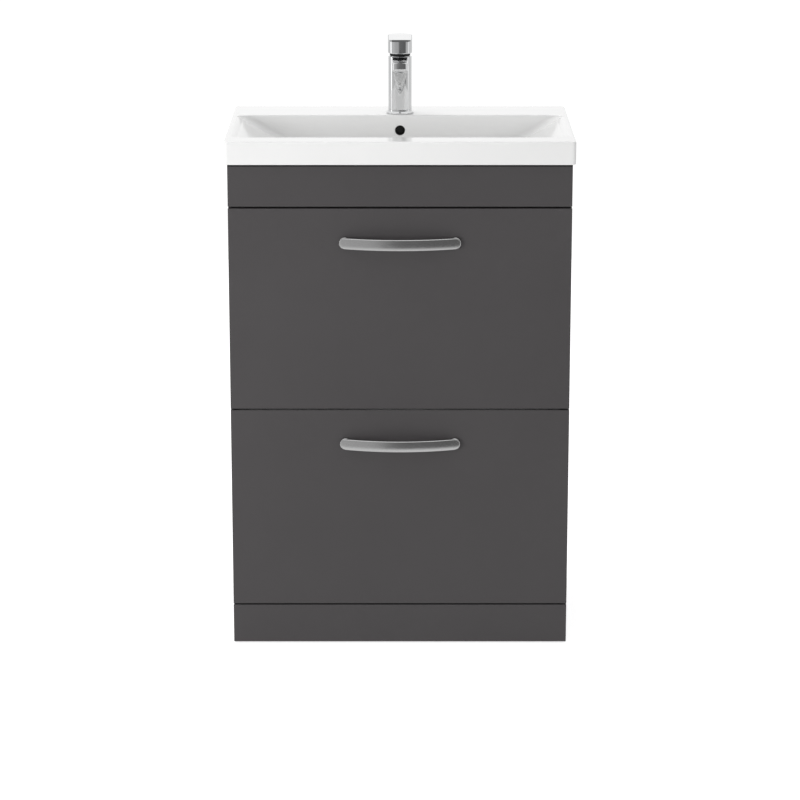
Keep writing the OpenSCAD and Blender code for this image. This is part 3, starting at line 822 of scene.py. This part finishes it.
def tap_cap():
    """Round cap, hollow from below."""
    z0, z1, r = lo("tap_handle").z, hi("tap_handle").z, hi("tap_handle").x
    wall, ceiling = 2.5 * MM, z0 + 13.5 * MM
    low_edge, top_edge = 2.1 * MM, 0.9 * MM
    profile = [(0.0, ceiling), (r - wall, ceiling), (r - wall, z0 + 0.4 * MM), (r - 2.3 * MM, z0)]
    profile += arc(r - low_edge, z0 + low_edge, low_edge, -90, 0, 8) + [(r, z0 + 14 * MM)]
    profile += arc(r - top_edge, z1 - top_edge, top_edge, 0, 90, 6)
    profile += [(r * 0.6, z1), (0.0, z1)]
    cap = lathe_parts(profile, TAP_CENTRE, 128, "Z", False)
    make("tap_cap", *cap, "chrome", "tap_lever", ["tap_handle"])


def tap_lever_blade():
    """Flat lever that thins and narrows towards its round-cornered front."""
    z1, r, front = hi("tap_handle").z, hi("tap_handle").x, lo("tap_handle").y
    half_w, corner_r, back = r - 1.6 * MM, 5 * MM, tap_y + 2 * MM
    sections = []
    for s in np.linspace(0, 1, 26):
        y = back + (front - back) * s
        d = y - front
        w = half_w
        if d < corner_r:
            w = half_w - corner_r + math.sqrt(max(corner_r ** 2 - (corner_r - d) ** 2, 0.0))
        w *= 1 - 0.04 * s
        t = 2.75 * MM - 0.9 * MM * s
        loop = round_rect(w, t, min(1.1 * MM, t * 0.6), 4)
        sections.append([(u, y, z1 - 0.02 * MM - t + v) for u, v in loop])
    make("tap_lever_blade", *loft_parts(sections), "chrome", "tap_lever", angle=40)


tap_foot()
tap_body_tube()
tap_spout()
tap_aerator()
tap_collar_painted_shade()
tap_neck_ring()
tap_cap()
tap_lever_blade()

# ------------------------------------------------------------------ bow handles

BAR_HALF_H = 10 * MM
BAR_HALF_T = 3.5 * MM
BAR_CROWN = 1.0 * MM
FOOT_DEPTH = 9.5 * MM


def handle_bar(zc, pitch, out):
    """Arched flat bar with a crowned face; its ends are half round, centred on the feet."""
    bow_half = pitch + 4 * MM
    rise = out - 12.5 * MM
    big = (bow_half**2 + rise**2) / (2 * rise)
    cy = front_y - out + big
    mid_r = big - BAR_HALF_T
    round_end = [pitch + BAR_HALF_H * math.sin(q) for q in np.linspace(0, 1.5, 14)]
    reach = list(np.linspace(0.0, pitch, 44))[:-1] + round_end
    sections = []
    for x in [-q for q in reversed(reach[1:])] + reach:
        past = max(abs(x) - pitch, 0.0)
        half_h = math.sqrt(BAR_HALF_H**2 - past**2)
        angle = math.asin(x / big)
        loop = []
        for u, v in round_rect(BAR_HALF_T, half_h, min(1.6 * MM, half_h * 0.8), 5):
            r = mid_r + u
            if u > 0:
                r -= BAR_CROWN * (v / BAR_HALF_H) ** 2
            loop.append((r * math.sin(angle), cy - r * math.cos(angle), zc + v))
        sections.append(loop)
    return loft_parts(sections)


def handle_foot(x, zc, foot_r):
    """Round foot with a blind screw hole in its rear face."""
    edge, hole_r, hole_depth = 1.8 * MM, 2.0 * MM, 8 * MM
    profile = [(hole_r, 0.0), (foot_r - 0.4 * MM, 0.0), (foot_r, -0.4 * MM)]
    profile += [(foot_r - edge + edge * math.cos(q), -(FOOT_DEPTH - edge) - edge * math.sin(q))
                for q in np.linspace(0, QUARTER, 7)]
    end = -FOOT_DEPTH - 0.1 * MM
    profile += [(foot_r * 0.5, end), (0.0, end), (0.0, -hole_depth), (hole_r, -hole_depth)]
    return lathe_parts(profile, (x, front_y, zc), 64, "Y")


def bow_handle(node, body):
    a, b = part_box(node)
    zc = (a.z + b.z) / 2
    foot_r = (b.z - a.z) / 2
    pitch = (b.x - a.x) / 2 - foot_r
    parts = [handle_bar(zc, pitch, front_y - a.y)]
    parts += [handle_foot(side * pitch, zc, foot_r) for side in (-1, 1)]
    make(node + "_bow", *join_parts(*parts), "handle_metal", body, [node], angle=40)


bow_handle("upper_handle", "upper_drawer")
bow_handle("lower_handle", "lower_drawer")

# ------------------------------------------------------------------ dark strip under the basin's front: painted shadow


def painted_shadow_strip():
    """Black strip along the fascia's upper edge: painted shadow standing in for the shade line under
    the basin's overhang.
    """
    x = hi("fascia").x - 0.4 * MM
    fascia_top = hi("fascia").z
    top, low = rim_bottom - 0.1 * MM, fascia_top - 2.6 * MM
    y = front_y - 0.9 * MM
    loop = [(y + 6 * MM, top), (y + 0.4 * MM, top), (y, top - 0.4 * MM),
            (y, low + 0.5 * MM), (y + 0.2 * MM, low + 0.1 * MM), (y + 0.8 * MM, low),
            (y + 0.85 * MM, fascia_top + 0.05 * MM), (y + 6 * MM, fascia_top + 0.05 * MM)]
    loft = loft_parts([[(u, a, b) for a, b in loop] for u in (-x, x)])
    make("basin_painted_shadow_strip", *loft, "black_rubber", "cabinet")


painted_shadow_strip()

# ------------------------------------------------------------------ carried-over CAD nodes

# widths in millimetres of the small bevels on boards and pressed parts
BEVELS = {
    "fascia": 0.9, "plinth": 0.9, "upper_front": 1.1, "lower_front": 1.1,
    "side_left": 0.5, "side_right": 0.5, "base_panel": 0.4, "front_rail": 0.4,
    "rear_top_rail": 0.4, "rear_mid_rail": 0.4, "rear_low_rail": 0.4,
    "upper_base": 0.3, "lower_base": 0.3, "upper_side_left": 0.6, "upper_side_right": 0.6,
    "lower_side_left": 0.6, "lower_side_right": 0.6, "upper_back": 0.6, "lower_back": 0.6,
    "upper_u_wall": 0.6, "corner_blocks": 0.8, "wall_brackets": 0.3,
    "rail_upper_left": 0.3, "rail_upper_right": 0.3, "rail_lower_left": 0.3,
    "rail_lower_right": 0.3, "upper_slides": 0.3, "lower_slides": 0.3,
    "upper_mid_runners": 0.3, "lower_mid_runners": 0.3,
}


def bevel_edges(ob, width):
    weld = ob.modifiers.new("weld", "WELD")
    weld.merge_threshold = 1e-5
    flat = ob.modifiers.new("flat", "DECIMATE")
    flat.decimate_type = "DISSOLVE"
    flat.angle_limit = math.radians(0.5)
    edge = ob.modifiers.new("edge", "BEVEL")
    edge.width = width
    edge.segments = 3
    edge.limit_method = "ANGLE"
    edge.angle_limit = math.radians(35)
    edge.use_clamp_overlap = True
    even = ob.modifiers.new("even", "WEIGHTED_NORMAL")
    even.weight = 100
    even.keep_sharp = False


slot_of = {s["node"]: s["material_slot"] for s in frame["record"]["subparts"]}
for name, ob in NODES.items():
    for material_slot in ob.material_slots:
        material_slot.material = MATERIALS[slot_of[name]]
    if name in BEVELS:
        bevel_edges(ob, BEVELS[name] * MM)

# ------------------------------------------------------------------ floor, light, camera

DOME = 0.82  # mean brightness of the soft surround
DOME_TILT = (-0.10, 0.14, 0.10)  # how much brighter it is towards +X, +Y and +Z
SEEN = 1.1  # brightness of the background that the camera sees
ROOF, BASE = 1.05, 0.8  # what polished parts mirror above and below the ring
# brightness that polished parts mirror: degrees from the camera's side, right positive
STUDIO = [(-180, 1.06), (-135, 0.8), (-101, 0.62), (-98, 1.7), (-89, 1.7), (-85, 0.6), (-66, 0.6),
          (-38, 0.45), (-17, 0.44), (-4, 0.16), (50, 0.13), (64, 0.55), (84, 0.62),
          (87, 1.2), (91, 1.2), (95, 0.7), (140, 0.8), (180, 1.06)]
FLOOR_R = 3.2
FLOOR_GLOW = 0.62


def floor_material():
    """Pale floor that glows a little for the camera, so that it meets the background unseen."""
    mat, tree, shader = new_material("floor_pale")
    tint = noise(tree, coords(tree), 2.0)
    tree.links.new(ramp(tree, tint, [(0.3, grey(0.90)), (0.7, grey(0.92))]),
                   shader.inputs["Base Color"])
    shader.inputs["Roughness"].default_value = 0.9
    shader.inputs["Specular IOR Level"].default_value = 0.1
    glow = add(tree, "ShaderNodeEmission")
    glow.inputs["Strength"].default_value = FLOOR_GLOW
    both = add(tree, "ShaderNodeAddShader")
    tree.links.new(shader.outputs[0], both.inputs[0])
    tree.links.new(glow.outputs[0], both.inputs[1])
    path = add(tree, "ShaderNodeLightPath")
    pick = add(tree, "ShaderNodeMixShader")
    tree.links.new(path.outputs["Is Camera Ray"], pick.inputs[0])
    tree.links.new(shader.outputs[0], pick.inputs[1])
    tree.links.new(both.outputs[0], pick.inputs[2])
    tree.links.new(pick.outputs[0], tree.nodes["Material Output"].inputs["Surface"])
    return mat


def floor():
    n = 96
    turns = [2 * math.pi * k / n for k in range(n)]
    verts = [(0, 0, 0)] + [(FLOOR_R * math.cos(a), FLOOR_R * math.sin(a), 0) for a in turns]
    faces = [(0, 1 + k, 1 + (k + 1) % n) for k in range(n)]
    me = bpy.data.meshes.new("floor")
    me.from_pydata(verts, [], faces)
    me.materials.append(floor_material())
    ob = bpy.data.objects.new("floor", me)
    bpy.context.collection.objects.link(ob)
    ob.visible_glossy = False


floor()


def area(name, loc, aim, size_x, size_y, power):
    """Rectangular lamp that polished parts don't mirror."""
    light = bpy.data.lights.new(name, "AREA")
    light.shape = "RECTANGLE"
    light.size = size_x
    light.size_y = size_y
    light.energy = power
    ob = bpy.data.objects.new(name, light)
    ob.location = loc
    ob.rotation_mode = "QUATERNION"
    ob.rotation_quaternion = (Vector(aim) - Vector(loc)).to_track_quat("-Z", "Y")
    bpy.context.collection.objects.link(ob)
    ob.visible_glossy = False


area("key", (-1.8, -2.6, 0.9), (0, 0, 0.62), 1.1, 0.9, 35)
area("top", (-0.7, 0.6, 3.0), (0, 0, 0.9), 0.9, 0.9, 12)


def soft_surround(tree, direction):
    """White light from all round, a little stronger from above, behind and the left."""
    tilt = add(tree, "ShaderNodeVectorMath", operation="DOT_PRODUCT")
    tilt.inputs[1].default_value = DOME_TILT
    tree.links.new(direction, tilt.inputs[0])
    soft = add(tree, "ShaderNodeBackground")
    level = span(tree, tilt.outputs["Value"], DOME - 0.5, DOME + 0.5, -0.5, 0.5)
    tree.links.new(level, soft.inputs["Strength"])
    return soft.outputs["Background"]


def blend_grey(tree, below, value, height, start, full):
    """Mixes a colour into a grey between two heights."""
    mix = add(tree, "ShaderNodeMixRGB")
    mix.inputs[2].default_value = (*grey(value), 1)
    tree.links.new(span(tree, height, 0.0, 1.0, start, full), mix.inputs[0])
    tree.links.new(below, mix.inputs[1])
    return mix.outputs[0]


def mirrored_studio(tree, direction):
    """The STUDIO ring by azimuth, with a plain roof and base."""
    split = add(tree, "ShaderNodeSeparateXYZ")
    tree.links.new(direction, split.inputs["Vector"])
    ahead = add(tree, "ShaderNodeMath", operation="MULTIPLY")
    ahead.inputs[1].default_value = -1.0
    tree.links.new(split.outputs["Y"], ahead.inputs[0])
    azimuth = add(tree, "ShaderNodeMath", operation="ARCTAN2")
    tree.links.new(split.outputs["X"], azimuth.inputs[0])
    tree.links.new(ahead.outputs[0], azimuth.inputs[1])
    turn = span(tree, azimuth.outputs[0], 0.0, 1.0, -math.pi, math.pi)
    around = ramp(tree, turn, [(deg / 360 + 0.5, grey(value)) for deg, value in STUDIO])
    roofed = blend_grey(tree, around, ROOF, split.outputs["Z"], 0.4, 0.7)
    based = blend_grey(tree, roofed, BASE, split.outputs["Z"], -0.35, -0.46)
    ring = add(tree, "ShaderNodeBackground")
    tree.links.new(based, ring.inputs["Color"])
    return ring.outputs["Background"]


def world():
    """Even white surround for soft light; polished parts mirror the studio ring instead."""
    surround = bpy.data.worlds.new("studio")
    bpy.context.scene.world = surround
    surround.use_nodes = True
    tree = surround.node_tree
    tree.nodes.clear()
    direction = add(tree, "ShaderNodeTexCoord").outputs["Generated"]
    seen = add(tree, "ShaderNodeBackground")
    seen.inputs["Color"].default_value = (1, 1, 1, 1)
    seen.inputs["Strength"].default_value = SEEN
    path = add(tree, "ShaderNodeLightPath")
    result = soft_surround(tree, direction)
    for ray, background in (("Is Glossy Ray", mirrored_studio(tree, direction)),
                            ("Is Camera Ray", seen.outputs["Background"])):
        mix = add(tree, "ShaderNodeMixShader")
        tree.links.new(path.outputs[ray], mix.inputs["Fac"])
        tree.links.new(result, mix.inputs[1])
        tree.links.new(background, mix.inputs[2])
        result = mix.outputs["Shader"]
    out = add(tree, "ShaderNodeOutputWorld")
    tree.links.new(result, out.inputs["Surface"])


world()

CAMERA_AWAY = 5.0  # metres in front of the basin
CAMERA_HEIGHT = 1.772
CAMERA_DOWN = 14.73  # degrees below level


def camera():
    cam = bpy.data.cameras.new("camera")
    ob = bpy.data.objects.new("camera", cam)
    bpy.context.collection.objects.link(ob)
    bpy.context.scene.camera = ob
    cam.sensor_width = 36.0
    cam.lens = 131.8
    cam.clip_start, cam.clip_end = 0.1, 100.0
    ob.location = (0.0, basin_y0 - CAMERA_AWAY, CAMERA_HEIGHT)
    ob.rotation_euler = (math.radians(90 - CAMERA_DOWN), 0.0, 0.0)


camera()

scene = bpy.context.scene
scene.view_settings.view_transform = "Standard"
scene.view_settings.look = "None"
scene.view_settings.exposure = 0.0
